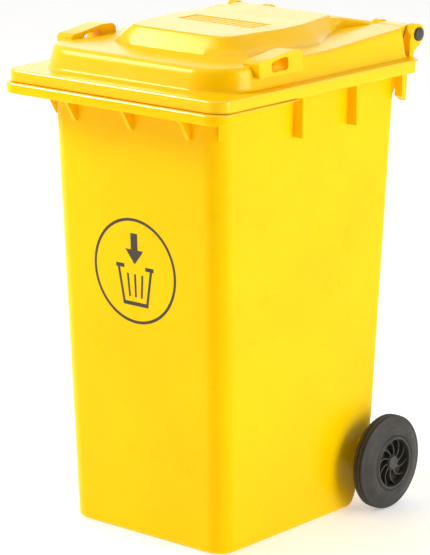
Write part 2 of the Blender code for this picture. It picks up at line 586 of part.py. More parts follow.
def hub_cap(s, side, mat):
    """Snap plug that closes the boss over the axle end."""
    prof = [(37, 0), (37, AXLE_R - 0.3), (41 + GAP, AXLE_R - 0.3), (41 + GAP, BOSS_R - 1.5), (43.6, BOSS_R - 1.5),
            (44.8, BOSS_R - 2.9), (45.2, BOSS_R - 6.5), (45.2, BOSS_R - 10.3), (44.6, BOSS_R - 10.9), (44.6, 0)]
    return finish(turned("cap", [(s * (HUB_IN + x), r) for x, r in prof], AXLE_Y, AXLE_Z, 32), "hub_cap_" + side, mat)


def latch(s, side, plastic, steel):
    """Sprung latch pin that holds the hub on the axle: pin, spring and plug."""
    x, top = s * LATCH_X, AXLE_Z + AXLE_R
    pin = post("pin", x, AXLE_Y, top - 1.5, top + 5, LATCH_R)
    finish(pin, "latch_pin_" + side, plastic)
    z0, z1, wire, turns, n, m, rc = top + 5.3, top + 13.2, 0.4, 3.5, 56, 6, LATCH_R - 0.6
    verts, faces = [], []
    for i in range(n + 1):
        t = i / n
        a = 2 * pi * turns * t
        c = Vector((x + rc * cos(a), AXLE_Y + rc * sin(a), z0 + wire + (z1 - z0 - 2 * wire) * t))
        rad = Vector((cos(a), sin(a), 0))
        for k in range(m):
            b = 2 * pi * k / m
            verts.append(tuple(c + rad * (wire * cos(b)) + Vector((0, 0, wire * sin(b)))))
    for i in range(n):
        for k in range(m):
            j = (k + 1) % m
            faces.append((i * m + k, i * m + j, (i + 1) * m + j, (i + 1) * m + k))
    faces += [tuple(range(m)), tuple(range(n * m, (n + 1) * m))]
    finish(make("spring", verts, faces), "latch_spring_" + side, steel)
    plug = post("plug", x, AXLE_Y, top + 13.5, top + 16.6, LATCH_R + 0.1)
    finish(plug, "latch_plug_" + side, plastic)


def main():
    """Build every piece."""
    for obj in list(bpy.data.objects):
        bpy.data.objects.remove(obj, do_unlink=True)
    container(material("body_hdpe", YELLOW, 0.35))
    lid(material("lid_hdpe", YELLOW, 0.35))
    axle(material("axle_steel", STEEL, 0.35, 1.0))
    for s, side in ((-1, "left"), (1, "right")):
        hinge_pin(s, side, material("pin_steel_" + side, STEEL, 0.4, 1.0))
        cap_solid(s, side, material("pin_cap_" + side, PINGREY, 0.5))
        spacer(s, side, material("spacer_" + side, BLACK, 0.5))
        hub(s, side, material("hub_" + side, HUBGREY, 0.45))
        tyre(s, side, material("tyre_" + side, BLACK, 0.7))
        hub_cap(s, side, material("hub_cap_" + side, HUBGREY, 0.45))
        latch(s, side, material("latch_" + side, PINGREY, 0.5), material("spring_" + side, STEEL, 0.4, 1.0))


main()
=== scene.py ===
"""Studio scene of a two-wheeled refuse container: finishes, refined mouldings, print, wheels, light, camera."""
from __future__ import annotations

import logging
import math
from dataclasses import dataclass
from enum import Enum
from typing import Callable, Iterable, Sequence

import bmesh
import bpy
from mathutils import Matrix, Vector
from mathutils.bvhtree import BVHTree


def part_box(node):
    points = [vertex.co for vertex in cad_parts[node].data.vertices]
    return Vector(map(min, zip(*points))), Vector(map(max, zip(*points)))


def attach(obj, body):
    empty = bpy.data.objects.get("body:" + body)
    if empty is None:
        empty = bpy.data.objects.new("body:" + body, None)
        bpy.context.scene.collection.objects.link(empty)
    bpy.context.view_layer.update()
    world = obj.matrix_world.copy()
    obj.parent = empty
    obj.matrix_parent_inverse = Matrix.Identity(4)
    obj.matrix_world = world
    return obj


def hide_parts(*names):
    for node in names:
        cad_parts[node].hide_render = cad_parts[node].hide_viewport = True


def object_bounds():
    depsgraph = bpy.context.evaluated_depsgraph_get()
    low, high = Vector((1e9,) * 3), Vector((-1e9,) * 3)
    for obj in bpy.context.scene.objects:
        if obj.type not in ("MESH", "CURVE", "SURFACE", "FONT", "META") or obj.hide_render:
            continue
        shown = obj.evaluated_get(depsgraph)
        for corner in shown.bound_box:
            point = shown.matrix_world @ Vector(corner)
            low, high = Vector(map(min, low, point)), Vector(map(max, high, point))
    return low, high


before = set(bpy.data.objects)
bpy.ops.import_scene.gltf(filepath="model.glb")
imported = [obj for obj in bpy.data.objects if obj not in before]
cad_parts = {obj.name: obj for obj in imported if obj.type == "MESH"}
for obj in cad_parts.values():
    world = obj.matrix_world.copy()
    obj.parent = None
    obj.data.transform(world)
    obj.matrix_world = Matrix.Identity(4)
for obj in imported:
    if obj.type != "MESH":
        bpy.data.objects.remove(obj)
CAD_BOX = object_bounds()

LOG = logging.getLogger("refuse_container")
MM = 0.001
HUB_FACE_MM = 236.0  # inner face of each hub, from the middle plane
ROLL_MM = 4.0  # how deep the rolled upper edges of the lip and the lid are


# ---- shared words ---------------------------------------------------------------
class Side(Enum):
    """Left or right of the container, as seen from the hinge side looking forward."""

    LEFT = -1
    RIGHT = 1

    @property
    def tag(self) -> str:
        """Word used in node and piece names."""
        return self.name.lower()


class Slot(Enum):
    """Material slots of the record."""

    BODY = "body_hdpe"
    LID = "lid_hdpe"
    STEEL = "steel"
    GREY = "grey_plastic"
    BLACK = "black_plastic"
    TYRE = "tyre_rubber"


# ---- material helpers -----------------------------------------------------------
def linear(code: str) -> tuple[float, float, float, float]:
    """Turn an sRGB hex colour into linear RGBA.

    Args:
        code: Six hex digits, with or without a leading hash.

    Returns:
        Linear red, green, blue and a full alpha.
    """
    digits = code.lstrip("#")
    channels = [int(digits[i:i + 2], 16) / 255.0 for i in (0, 2, 4)]
    red, green, blue = (c / 12.92 if c <= 0.04045 else ((c + 0.055) / 1.055) ** 2.4 for c in channels)
    return red, green, blue, 1.0


def add_node(tree: bpy.types.NodeTree, kind: str, settings: dict | None = None,
             links: dict | None = None) -> bpy.types.Node:
    """Add one node, set its values and link its inputs.

    Args:
        tree: Node tree to add to.
        kind: Blender's type name of the node.
        settings: Input names or numbers, or node properties, with their values.
        links: Input names or numbers with the output socket that feeds each.

    Returns:
        The new node.
    """
    node = tree.nodes.new(kind)
    for key, value in (settings or {}).items():
        if isinstance(key, int) or key in node.inputs:
            node.inputs[key].default_value = value
        else:
            setattr(node, key, value)
    for key, source in (links or {}).items():
        tree.links.new(source, node.inputs[key])
    return node


def per_metre(feature_mm: float) -> float:
    """Noise scale whose features are about this many millimetres across."""
    return 1.0 / (feature_mm * MM)


@dataclass(frozen=True)
class Finish:
    """A real surface: its colours, gloss and relief, built as a node material.

    Attributes:
        name: What the material is and how its surface was made.
        base: Main colour, sRGB hex.
        shade: Second colour that drifts through the first, sRGB hex.
        rough: Roughness at its smoothest and at its roughest.
        drift_mm: Size of the soft colour drift.
        grain_mm: Size of the fine surface grain.
        grain_depth_mm: Height of that grain.
        peel_mm: Size of the soft waviness from moulding.
        peel_depth_mm: Height of that waviness.
        metallic: One for bare metal.
        ior: Refractive index of a plastic or rubber.
        glow: Share of light that scatters under the skin.
        glow_mm: How far that light travels.
        shine: Strength of the mirror part of the gloss; half is the plain material.
        tint: Colour of the gloss where the skin is seen straight on, sRGB hex.
    """

    name: str
    base: str
    shade: str
    rough: tuple[float, float] = (0.3, 0.4)
    drift_mm: float = 160.0
    grain_mm: float = 1.4
    grain_depth_mm: float = 0.01
    peel_mm: float = 9.0
    peel_depth_mm: float = 0.02
    metallic: float = 0.0
    ior: float = 1.5
    glow: float = 0.0
    glow_mm: float = 3.0
    shine: float = 0.5
    tint: str = "#FFFFFF"

    def build(self) -> bpy.types.Material:
        """Make the node material.

        Returns:
            A material with drifting colour, uneven gloss and two scales of relief.
        """
        mat = bpy.data.materials.new(self.name)
        mat.use_nodes = True
        tree = mat.node_tree
        shader = tree.nodes["Principled BSDF"]
        shader.inputs["Metallic"].default_value = self.metallic
        shader.inputs["IOR"].default_value = self.ior
        shader.inputs["Specular IOR Level"].default_value = self.shine
        shader.inputs["Specular Tint"].default_value = linear(self.tint)
        if self.glow:
            shader.inputs["Subsurface Weight"].default_value = self.glow
            shader.inputs["Subsurface Scale"].default_value = self.glow_mm * MM
            shader.inputs["Subsurface Radius"].default_value = (1.0, 0.45, 0.06)
        place = add_node(tree, "ShaderNodeTexCoord").outputs["Object"]
        drift = add_node(tree, "ShaderNodeTexNoise", {"Scale": per_metre(self.drift_mm), "Detail": 2.0,
                                                      "Roughness": 0.45}, {"Vector": place})
        colour = add_node(tree, "ShaderNodeMix", {"data_type": "RGBA", 6: linear(self.base), 7: linear(self.shade)})
        share = add_node(tree, "ShaderNodeMapRange", {"From Min": 0.35, "From Max": 0.7},
                         {"Value": drift.outputs["Fac"]})
        tree.links.new(share.outputs["Result"], colour.inputs[0])
        tree.links.new(colour.outputs[2], shader.inputs["Base Color"])
        scuff = add_node(tree, "ShaderNodeTexNoise", {"Scale": per_metre(self.drift_mm * 0.31), "Detail": 4.0,
                                                      "Roughness": 0.6}, {"Vector": place})
        gloss = add_node(tree, "ShaderNodeMapRange", {"From Min": 0.3, "From Max": 0.72, "To Min": self.rough[0],
                                                      "To Max": self.rough[1]}, {"Value": scuff.outputs["Fac"]})
        tree.links.new(gloss.outputs["Result"], shader.inputs["Roughness"])
        peel = add_node(tree, "ShaderNodeTexNoise", {"Scale": per_metre(self.peel_mm), "Detail": 1.0},
                        {"Vector": place})
        grain = add_node(tree, "ShaderNodeTexNoise", {"Scale": per_metre(self.grain_mm), "Detail": 2.0},
                         {"Vector": place})
        wave = add_node(tree, "ShaderNodeBump", {"Strength": 1.0, "Distance": self.peel_depth_mm * MM},
                        {"Height": peel.outputs["Fac"]})
        relief = add_node(tree, "ShaderNodeBump", {"Strength": 1.0, "Distance": self.grain_depth_mm * MM},
                          {"Height": grain.outputs["Fac"], "Normal": wave.outputs["Normal"]})
        tree.links.new(relief.outputs["Normal"], shader.inputs["Normal"])
        return mat


# Injection-moulded HDPE, coloured through: a waxy, half-gloss skin that glows a little at thin edges.
BODY_HDPE = Finish("moulded HDPE, yellow body", "#FFCB00", "#FFC500", (0.26, 0.34), 210.0, 2.4, 0.003, 30.0, 0.012,
                   ior=1.54, glow=0.3, glow_mm=9.0, shine=0.16, tint="#FFE07A")
LID_HDPE = Finish("moulded HDPE, yellow lid", "#FFCD00", "#FFC700", (0.17, 0.25), 180.0, 2.4, 0.002, 34.0, 0.010,
                  ior=1.54, glow=0.1, glow_mm=4.0, shine=0.34, tint="#FFF0B4")
# The same plastic where lids, hands and lifting combs have rubbed the rolled edges to a polish.
RUBBED_EDGE = Finish("rubbed HDPE edge", "#FFD000", "#FFCB00", (0.08, 0.12), 120.0, 2.4, 0.002, 34.0, 0.006,
                     ior=1.54, glow=0.1, glow_mm=4.0, shine=0.85, tint="#FFFFFF")
# Moulded solid rubber: matt, warm near-black, with a slightly dusty bloom.
TYRE_RUBBER = Finish("moulded solid rubber, tyre", "#2A2722", "#38342D", (0.55, 0.72), 40.0, 1.1, 0.03, 5.0, 0.03,
                     ior=1.52)
# Moulded polypropylene: dark warm grey wheel centres with an even satin skin.
HUB_PP = Finish("moulded polypropylene, wheel", "#35322C", "#403C34", (0.34, 0.46), 55.0, 0.9, 0.012, 7.0, 0.02,
                ior=1.49)
# Moulded polypropylene again, the neutral grey of the hinge caps.
CAP_PP = Finish("moulded polypropylene, hinge cap", "#34353A", "#3E3F44", (0.3, 0.4), 30.0, 0.8, 0.01, 5.0, 0.015,
                ior=1.49)
# Zinc-plated mild steel: a bright grey metal with a faint spangle and soft highlights.
ZINC_STEEL = Finish("zinc-plated steel", "#B9BDC1", "#A7ABB0", (0.22, 0.38), 14.0, 0.7, 0.006, 4.0, 0.01,
                    metallic=1.0)
# Hot-stamped pigment foil: a flat brown-black film, a touch less glossy than the plastic under it.
STAMP_INK = Finish("hot-stamped print, brown black", "#241D10", "#2C2414", (0.38, 0.5), 30.0, 1.0, 0.004, 12.0, 0.008)
# Painted studio sweep: pale and matt, with a barely seen mottle.
SWEEP = Finish("painted studio floor", "#F2F2F0", "#EEEEEC", (0.7, 0.8), 900.0, 6.0, 0.05, 60.0, 0.1)


# ---- mesh helpers ---------------------------------------------------------------
def merged_copy(node: str) -> bmesh.types.BMesh:
    """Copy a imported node's mesh, join its loose triangles and dissolve flat seams.

    Args:
        node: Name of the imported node.

    Returns:
        A new bmesh with whole flat faces.
    """
    bm = bmesh.new()
    bm.from_mesh(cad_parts[node].data)
    bmesh.ops.remove_doubles(bm, verts=bm.verts, dist=0.004 * MM)
    bmesh.ops.dissolve_degenerate(bm, edges=bm.edges, dist=0.01 * MM)
    bmesh.ops.dissolve_limit(bm, angle_limit=math.radians(0.35), verts=bm.verts, edges=bm.edges)
    return bm


def crease_edges(bm: bmesh.types.BMesh, angle: float, room: float,
                 keep: Callable[[bmesh.types.BMEdge], bool] | None = None) -> list[bmesh.types.BMEdge]:
    """Find sharp edges that have room for a rounding.

    Args:
        bm: Mesh to look through.
        angle: Least angle between the two faces, in degrees.
        room: Least length of the edge and of its neighbours, in metres.
        keep: Test that an edge must pass too.

    Returns:
        The edges to round.
    """
    limit = math.radians(angle)

    def sharp(edge: bmesh.types.BMEdge) -> bool:
        """True where two faces meet at more than the limit."""
        return len(edge.link_faces) == 2 and edge.calc_face_angle(0.0) > limit

    found = []
    for edge in bm.edges:
        if not sharp(edge) or edge.calc_length() < room or (keep and not keep(edge)):
            continue
        neighbours = [e for v in edge.verts for e in v.link_edges if e is not edge]
        if all(e.calc_length() > room for e in neighbours):
            found.append(edge)
    return found


def round_edges(bm: bmesh.types.BMesh, edges: Iterable[bmesh.types.BMEdge], width: float, steps: int = 2) -> None:
    """Round the given edges.

    Args:
        bm: Mesh that holds them.
        edges: Edges to round.
        width: Width of the rounding in metres.
        steps: Faces across it.
    """
    chosen = list(edges)
    if chosen:
        bmesh.ops.bevel(bm, geom=chosen, offset=width, offset_type="OFFSET", segments=steps, profile=0.5,
                        affect="EDGES", material=-1, clamp_overlap=True)


def mark_rolled_edge(bm: bmesh.types.BMesh, top: float) -> None:
    """Mark the faces that roll over an upper edge, so that they take the second material.

    Args:
        bm: Mesh that holds the edge.
        top: Height of the edge in metres.
    """
    for face in bm.faces:
        height = face.calc_center_median().z
        if top - ROLL_MM * MM < height < top and 0.25 < face.normal.z < 0.97:
            face.material_index = 1


def as_piece(bm: bmesh.types.BMesh, name: str, finish: bpy.types.Material, body: str,
             stands_for: Sequence[str] = (), sharp: float = 40.0) -> bpy.types.Object:
    """Turn a bmesh into a finished, smooth-shaded piece that rides on a body.

    Args:
        bm: Mesh in the row frame, in metres. It is freed.
        name: Name of the piece.
        finish: Its material.
        body: Body that it moves with.
        stands_for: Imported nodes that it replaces.
        sharp: Edges past this angle, in degrees, stay crisp.

    Returns:
        The new object.
    """
    limit = math.radians(sharp)
    for face in bm.faces:
        face.smooth = True
    for edge in bm.edges:
        edge.smooth = len(edge.link_faces) == 2 and edge.calc_face_angle(0.0) < limit
    mesh = bpy.data.meshes.new(name)
    bm.to_mesh(mesh)
    bm.free()
    piece = bpy.data.objects.new(name, mesh)
    mesh.materials.append(finish)
    bpy.context.scene.collection.objects.link(piece)
    even = piece.modifiers.new("even shading", "WEIGHTED_NORMAL")
    even.keep_sharp = True
    even.weight = 60
    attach(piece, body)
    if stands_for:
        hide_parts(*stands_for)
    LOG.info("%s: %d faces on %s", name, len(mesh.polygons), body)
    return piece


def dress(node: str, finish: bpy.types.Material) -> None:
    """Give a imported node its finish.

    Args:
        node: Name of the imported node.
        finish: Its material.
    """
    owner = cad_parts[node]
    if not owner.material_slots:
        owner.data.materials.append(finish)
    for place in owner.material_slots:
        place.material = finish
    LOG.info("%s: packed node dressed", node)


def turned(profile: Sequence[tuple[float, float]], centre: Vector, side: Side, steps: int = 96) -> bmesh.types.BMesh:
    """Turn a closed profile about a cross-wise axis.

    Args:
        profile: Pairs of distance from the middle plane and radius, in millimetres.
        centre: Point on the axis; only its y and z count.
        side: Which side of the container it is on.
        steps: Faces round the turn.

    Returns:
        A closed solid of revolution.
    """
    bm = bmesh.new()
    hub = Vector((0.0, centre.y, centre.z))
    ring = [bm.verts.new(hub + Vector((side.value * x * MM, r * MM, 0.0))) for x, r in profile]
    outline = [bm.edges.new((a, b)) for a, b in zip(ring, ring[1:] + ring[:1])]
    bmesh.ops.spin(bm, geom=ring + outline, cent=hub, axis=(1.0, 0.0, 0.0), angle=math.tau, steps=steps,
                   use_merge=True)
    bmesh.ops.remove_doubles(bm, verts=bm.verts, dist=0.01 * MM)
    bmesh.ops.recalc_face_normals(bm, faces=bm.faces)
    return bm


# ---- the container --------------------------------------------------------------
@dataclass
class Container:
    """Tapered container with its rim, lifting lip, gussets, hinge brackets and handle bar.

    Attributes:
        edge_mm: Rounding on crisp outer edges.
        lip_top_mm: Height of the lifting lip's rolled edge.
        finish: Skin of the moulding.
    """

    edge_mm: float = 1.1
    lip_top_mm: float = 924.7
    finish: Finish = BODY_HDPE
    node: str = "container_body"

    def build(self) -> bpy.types.Object:
        """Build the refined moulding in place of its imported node.

        Returns:
            The container piece.
        """
        bm = merged_copy(self.node)
        width = self.edge_mm * MM
        round_edges(bm, crease_edges(bm, 50.0, width * 2.4), width)
        mark_rolled_edge(bm, self.lip_top_mm * MM)
        piece = as_piece(bm, "container_moulding", self.finish.build(), "container", (self.node,), 58.0)
        piece.data.materials.append(RUBBED_EDGE.build())
        return piece


# ---- the lid --------------------------------------------------------------------
@dataclass
class Lid:
    """Domed lid with a raised panel, label recess, two hand grips and hinge knuckles.

    Attributes:
        edge_mm: Rounding on crisp outer edges.
        flange_top_mm: Height of the flange's rolled edge.
        finish: Skin of the moulding.
    """

    edge_mm: float = 1.1
    flange_top_mm: float = 950.0
    finish: Finish = LID_HDPE
    node: str = "lid"

    def build(self) -> bpy.types.Object:
        """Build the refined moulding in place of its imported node.

        Returns:
            The lid piece.
        """
        bm = merged_copy(self.node)
        width = self.edge_mm * MM
        round_edges(bm, crease_edges(bm, 50.0, width * 2.4), width)
        mark_rolled_edge(bm, self.flange_top_mm * MM)
        piece = as_piece(bm, "lid_moulding", self.finish.build(), "lid", (self.node,), 58.0)
        piece.data.materials.append(RUBBED_EDGE.build())
        return piece


# ---- the printed sign -----------------------------------------------------------
@dataclass
class PrintedSign:
    """Plain ring with a generic down arrow over an open basket, stamped on the front wall.

    Attributes:
        centre_x_mm: Middle of the ring across the container.
        centre_z_mm: Height of that middle above the floor.
        ring_mm: Outer radius of the ring.
        line_mm: Width of the ring's line.
        film_mm: How far the print stands proud of the wall.
    """

    centre_x_mm: float = -4.0
    centre_z_mm: float = 562.0
    ring_mm: float = 109.0
    line_mm: float = 6.0
    film_mm: float = 0.22
    finish: Finish = STAMP_INK

    def on_wall(self, bm: bmesh.types.BMesh) -> None:
        """Lay a flat drawing in x and z onto the front wall, with a thin edge all round.

        Args:
            bm: Flat drawing in millimetres, in its own x and z.
        """
        wall_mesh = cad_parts["container_body"].data
        wall = BVHTree.FromPolygons([v.co for v in wall_mesh.vertices], [p.vertices for p in wall_mesh.polygons])
        skin = bmesh.ops.extrude_face_region(bm, geom=list(bm.faces))
        front = {v for v in skin["geom"] if isinstance(v, bmesh.types.BMVert)}
        for vert in bm.verts:
            x = (self.centre_x_mm + vert.co.x) * MM
            z = (self.centre_z_mm + vert.co.z) * MM
            place, normal, _, _ = wall.ray_cast(Vector((x, -1.0, z)), Vector((0.0, 1.0, 0.0)))
            if place is None:
                raise ValueError("the print has left the front wall")
            vert.co = place + normal * (self.film_mm if vert in front else -0.1) * MM
        bmesh.ops.recalc_face_normals(bm, faces=bm.faces)

    def shape(self, outline: Sequence[tuple[float, float]]) -> bmesh.types.BMesh:
        """A flat patch from a few corner points in x and z, millimetres."""
        bm = bmesh.new()
        bm.faces.new([bm.verts.new((x, 0.0, z)) for x, z in outline])
        return bm

    def ring(self) -> bmesh.types.BMesh:
        """The ring's flat drawing, from two circles bridged together."""
        bm = bmesh.new()
        turn = Matrix.Rotation(math.pi / 2, 4, "X")
        rims = [bmesh.ops.create_circle(bm, cap_ends=False, segments=96, radius=r, matrix=turn)["verts"]
                for r in (self.ring_mm, self.ring_mm - self.line_mm)]
        edges = {e for rim in rims for v in rim for e in v.link_edges}
        bmesh.ops.bridge_loops(bm, edges=list(edges))
        return bm

    def drawings(self) -> list[tuple[str, bmesh.types.BMesh]]:
        """Names and flat drawings of the sign's parts.

        Returns:
            The ring, the arrow, the basket's rim, sides, floor and slats.
        """
        parts = [("sign_ring", self.ring()),
                 ("sign_arrow", self.shape([(-9, 78), (9, 78), (9, 44), (24, 44), (0, 14), (-24, 44), (-9, 44)])),
                 ("sign_basket_rim_left", self.shape([(-50, 4), (-28, 4), (-28, 12), (-50, 12)])),
                 ("sign_basket_rim_right", self.shape([(28, 4), (50, 4), (50, 12), (28, 12)])),
                 ("sign_basket_floor", self.shape([(-33, -72), (33, -72), (34, -64), (-34, -64)]))]
        for name, top, foot in (("left", -46.0, -34.0), ("right", 40.0, 28.0)):
            parts.append((f"sign_basket_{name}", self.shape([(top, 4), (foot, -64), (foot + 6, -64), (top + 6, 4)])))
        for index, x in enumerate((-22.0, -2.5, 17.0)):
            slat = self.shape([(x, -6), (x * 0.8, -54), (x * 0.8 + 5, -54), (x + 5, -6)])
            parts.append((f"sign_slat_{index + 1}", slat))
        return parts

    def build(self) -> list[bpy.types.Object]:
        """Build the print.

        Returns:
            Its pieces, all riding on the container.
        """
        ink = self.finish.build()
        made = []
        for name, bm in self.drawings():
            self.on_wall(bm)
            made.append(as_piece(bm, name, ink, "container"))
        return made


# ---- hinge ----------------------------------------------------------------------
@dataclass
class HingeSide:
    """One side's hinge pin and the cap that hides its end.

    Attributes:
        side: Which side it is on.
        cap_mm: Radius of the cap.
    """

    side: Side
    cap_mm: float = 14.2
    steel: Finish = ZINC_STEEL
    plastic: Finish = CAP_PP

    def build(self) -> bpy.types.Object:
        """Dress the pin and build a softly domed cap.

        Returns:
            The cap piece.
        """
        tag = self.side.tag
        dress(f"hinge_pin_{tag}", self.steel.build())
        low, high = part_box(f"hinge_cap_{tag}")
        middle = (low + high) / 2
        inner, outer = sorted((abs(low.x) / MM, abs(high.x) / MM))
        rim = self.cap_mm
        profile = [(inner + 3.0, 0.0), (inner + 3.0, 6.2), (inner, 6.2), (inner, rim), (inner + 3.4, rim),
                   (inner + 4.2, rim - 0.9), (outer - 1.4, rim - 1.6), (outer - 0.9, rim - 3.6),
                   (outer - 1.2, rim - 4.4), (outer - 0.5, rim - 5.2), (outer, 5.0), (outer, 0.0)]
        bm = turned(profile, middle, self.side, 64)
        round_edges(bm, crease_edges(bm, 30.0, 0.35 * MM), 0.3 * MM)
        return as_piece(bm, f"hinge_cap_cover_{tag}", self.plastic.build(), "container",
                        (f"hinge_cap_{tag}",), 45.0)


# ---- wheels ---------------------------------------------------------------------
@dataclass
class Wheel:
    """One wheel: ribbed solid tyre, hub with curved spokes, boss cap and latch.

    Attributes:
        side: Which side it is on.
        spokes: Number of curved spokes.
        spoke_mm: Thickness of a spoke.
        sweep: How far a spoke turns between boss and rim, in radians.
    """

    side: Side
    spokes: int = 10
    spoke_mm: float = 3.0
    sweep: float = 0.62
    rubber: Finish = TYRE_RUBBER
    plastic: Finish = HUB_PP
    steel: Finish = ZINC_STEEL
    grey: Finish = CAP_PP

    def __post_init__(self) -> None:
        """Find the wheel's middle and body from the frame."""
        self.tag = self.side.tag
        self.body = f"wheel_{self.tag}"
        low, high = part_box(f"wheel_tyre_{self.tag}")
        self.centre = (low + high) / 2
        self.inner = min(abs(low.x), abs(high.x)) / MM
        self.outer = max(abs(low.x), abs(high.x)) / MM
        self.radius = (high.z - low.z) / 2 / MM

    def tyre(self) -> bpy.types.Object:
        """Tyre with three tread ribs, stepped shoulders and a beaded conical wall.

        Returns:
            The tyre piece.
        """
        a, b, r = self.inner, self.outer, self.radius
        seat = 58.3
        profile = [(a + 3.0, seat), (a + 0.8, seat + 2.6), (a, seat + 7.5), (a + 1.3, 71.5), (a + 2.4, 73.0),
                   (a + 2.6, 75.0), (a + 8.6, 90.5), (a + 9.4, 94.0), (a + 10.8, r - 1.9), (a + 12.8, r - 0.4),
                   (a + 17.6, r), (a + 18.6, r - 0.5), (a + 19.2, r - 2.2), (a + 21.2, r - 2.2), (a + 21.8, r - 0.5),
                   (a + 22.4, r), (a + 26.8, r), (a + 27.4, r - 0.5), (a + 28.0, r - 2.2), (a + 29.6, r - 2.2),
                   (a + 30.2, r - 0.6), (b - 12.4, r - 0.6), (b - 11.2, r - 1.6), (b - 10.4, r - 4.4),
                   (b - 10.0, 92.5), (b - 9.2, 90.0), (b - 8.0, 87.6), (b - 7.4, 87.2), (b - 2.6, 75.4),
                   (b - 1.9, 75.0), (b - 1.5, 72.0), (b - 0.1, 67.5), (b, 64.5), (b - 0.5, seat + 2.4),
                   (b - 2.4, seat)]
        bm = turned(profile, self.centre, self.side, 128)
        return as_piece(bm, f"tyre_tread_{self.tag}", self.rubber.build(), self.body,
                        (f"wheel_tyre_{self.tag}",), 48.0)

    def spoke(self, bm: bmesh.types.BMesh, lift: float) -> None:
        """Add one curved spoke by pushing its end face outwards step by step.

        Args:
            bm: Mesh to add to.
            lift: Distance of the spoke's outer edge from the middle plane, in millimetres.
        """
        start, end, steps = 15.6, 51.6, 8
        half, deep = self.spoke_mm / 2 * MM, 13.5 * MM
        out = self.side.value * lift * MM
        back = out - self.side.value * deep
        hub = Vector((0.0, self.centre.y, self.centre.z))
        face = bm.faces.new([bm.verts.new(hub + Vector((x, start * MM, w))) for x, w in
                             ((back, -half), (out, -half), (out, half), (back, half))])
        length = (end - start) / steps
        for index in range(steps):
            grown = bmesh.ops.extrude_face_region(bm, geom=[face])["geom"]
            tip = [v for v in grown if isinstance(v, bmesh.types.BMVert)]
            face = next(f for f in grown if isinstance(f, bmesh.types.BMFace))
            middle = sum((v.co for v in tip), Vector()) / len(tip)
            away = (middle - hub) * Vector((0.0, 1.0, 1.0))
            bmesh.ops.translate(bm, verts=tip, vec=away.normalized() * length * MM)
            turn = self.side.value * self.sweep * ((index + 1) ** 1.6 - index ** 1.6) / steps ** 1.6
            bmesh.ops.rotate(bm, verts=tip, cent=hub, matrix=Matrix.Rotation(turn, 3, "X"))

    def hub(self) -> bpy.types.Object:
        """Hub with a stepped rim ring, round boss, back web and curved spokes.

        Returns:
            The hub piece.
        """
        a, seat = HUB_FACE_MM, 58.0
        profile = [(a, 11.3), (a, 26.6), (a + 1.4, 28.0), (a + 24, 28.0), (a + 24, 51.0), (a + 5.6, 51.0),
                   (a + 3.5, 53.0), (a + 3.5, 56.6), (a + 4.9, seat), (a + 43.4, seat), (a + 45, 56.9),
                   (a + 45.5, 55.6), (a + 45.5, 54.9), (a + 47, 54.5), (a + 47.5, 53.8), (a + 47.5, 51.9),
                   (a + 46.6, 50.8), (a + 44, 50.4),
                   (a + 28, 50.0), (a + 27.6, 34.0), (a + 28, 17.0), (a + 39.8, 16.4), (a + 41, 15.4), (a + 41, 11.3)]
        bm = turned(profile, self.centre, self.side, 96)
        round_edges(bm, crease_edges(bm, 50.0, 0.9 * MM), 0.45 * MM)
        web = as_piece(bm, f"hub_shell_{self.tag}", self.plastic.build(), self.body,
                       (f"wheel_hub_{self.tag}",), 45.0)
        arms = bmesh.new()
        self.spoke(arms, HUB_FACE_MM + 40.5)
        bmesh.ops.recalc_face_normals(arms, faces=arms.faces)
        bmesh.ops.spin(arms, geom=list(arms.verts) + list(arms.edges) + list(arms.faces), cent=self.centre,
                       axis=(1.0, 0.0, 0.0), angle=math.tau * (self.spokes - 1) / self.spokes,
                       steps=self.spokes - 1, use_duplicate=True, use_merge=False)
        round_edges(arms, crease_edges(arms, 60.0, 0.8 * MM), 0.55 * MM)
        spokes = as_piece(arms, f"hub_spokes_{self.tag}", web.data.materials[0], self.body, (), 50.0)
        return spokes

    def boss_cap(self) -> bpy.types.Object:
        """Snap cap over the axle end, with a raised ring and a shallow dish.

        Returns:
            The cap piece.
        """
        a = HUB_FACE_MM
        profile = [(a + 37, 0.0), (a + 37, 10.7), (a + 41.3, 10.7), (a + 41.3, 14.9), (a + 42.8, 14.9),
                   (a + 44, 14.2),
                   (a + 44.8, 12.8), (a + 45.1, 10.8), (a + 45.2, 9.0), (a + 44.7, 8.2), (a + 44, 7.6), (a + 44, 0.0)]
        bm = turned(profile, self.centre, self.side, 64)
        round_edges(bm, crease_edges(bm, 40.0, 0.5 * MM), 0.3 * MM)
        return as_piece(bm, f"boss_cap_{self.tag}", self.plastic.build(), self.body,
                        (f"hub_cap_{self.tag}",), 45.0)

    def build(self) -> None:
        """Build the wheel and dress its latch."""
        self.tyre()
        self.hub()
        self.boss_cap()
        dress(f"latch_spring_{self.tag}", self.steel.build())
        grey = self.grey.build()
        dress(f"latch_plug_{self.tag}", grey)
        dress(f"latch_pin_{self.tag}", grey)


@dataclass
class Axle:
    """Steel axle and the plastic sleeves that keep the wheels off the container.

    Attributes:
        steel: Plating of the axle.
        plastic: Skin of the sleeves.
    """

    steel: Finish = ZINC_STEEL
    plastic: Finish = HUB_PP

    def build(self) -> None:
        """Dress the axle and its sleeves."""
        dress("axle", self.steel.build())
        sleeve = self.plastic.build()
        for side in Side:
            dress(f"axle_spacer_{side.tag}", sleeve)


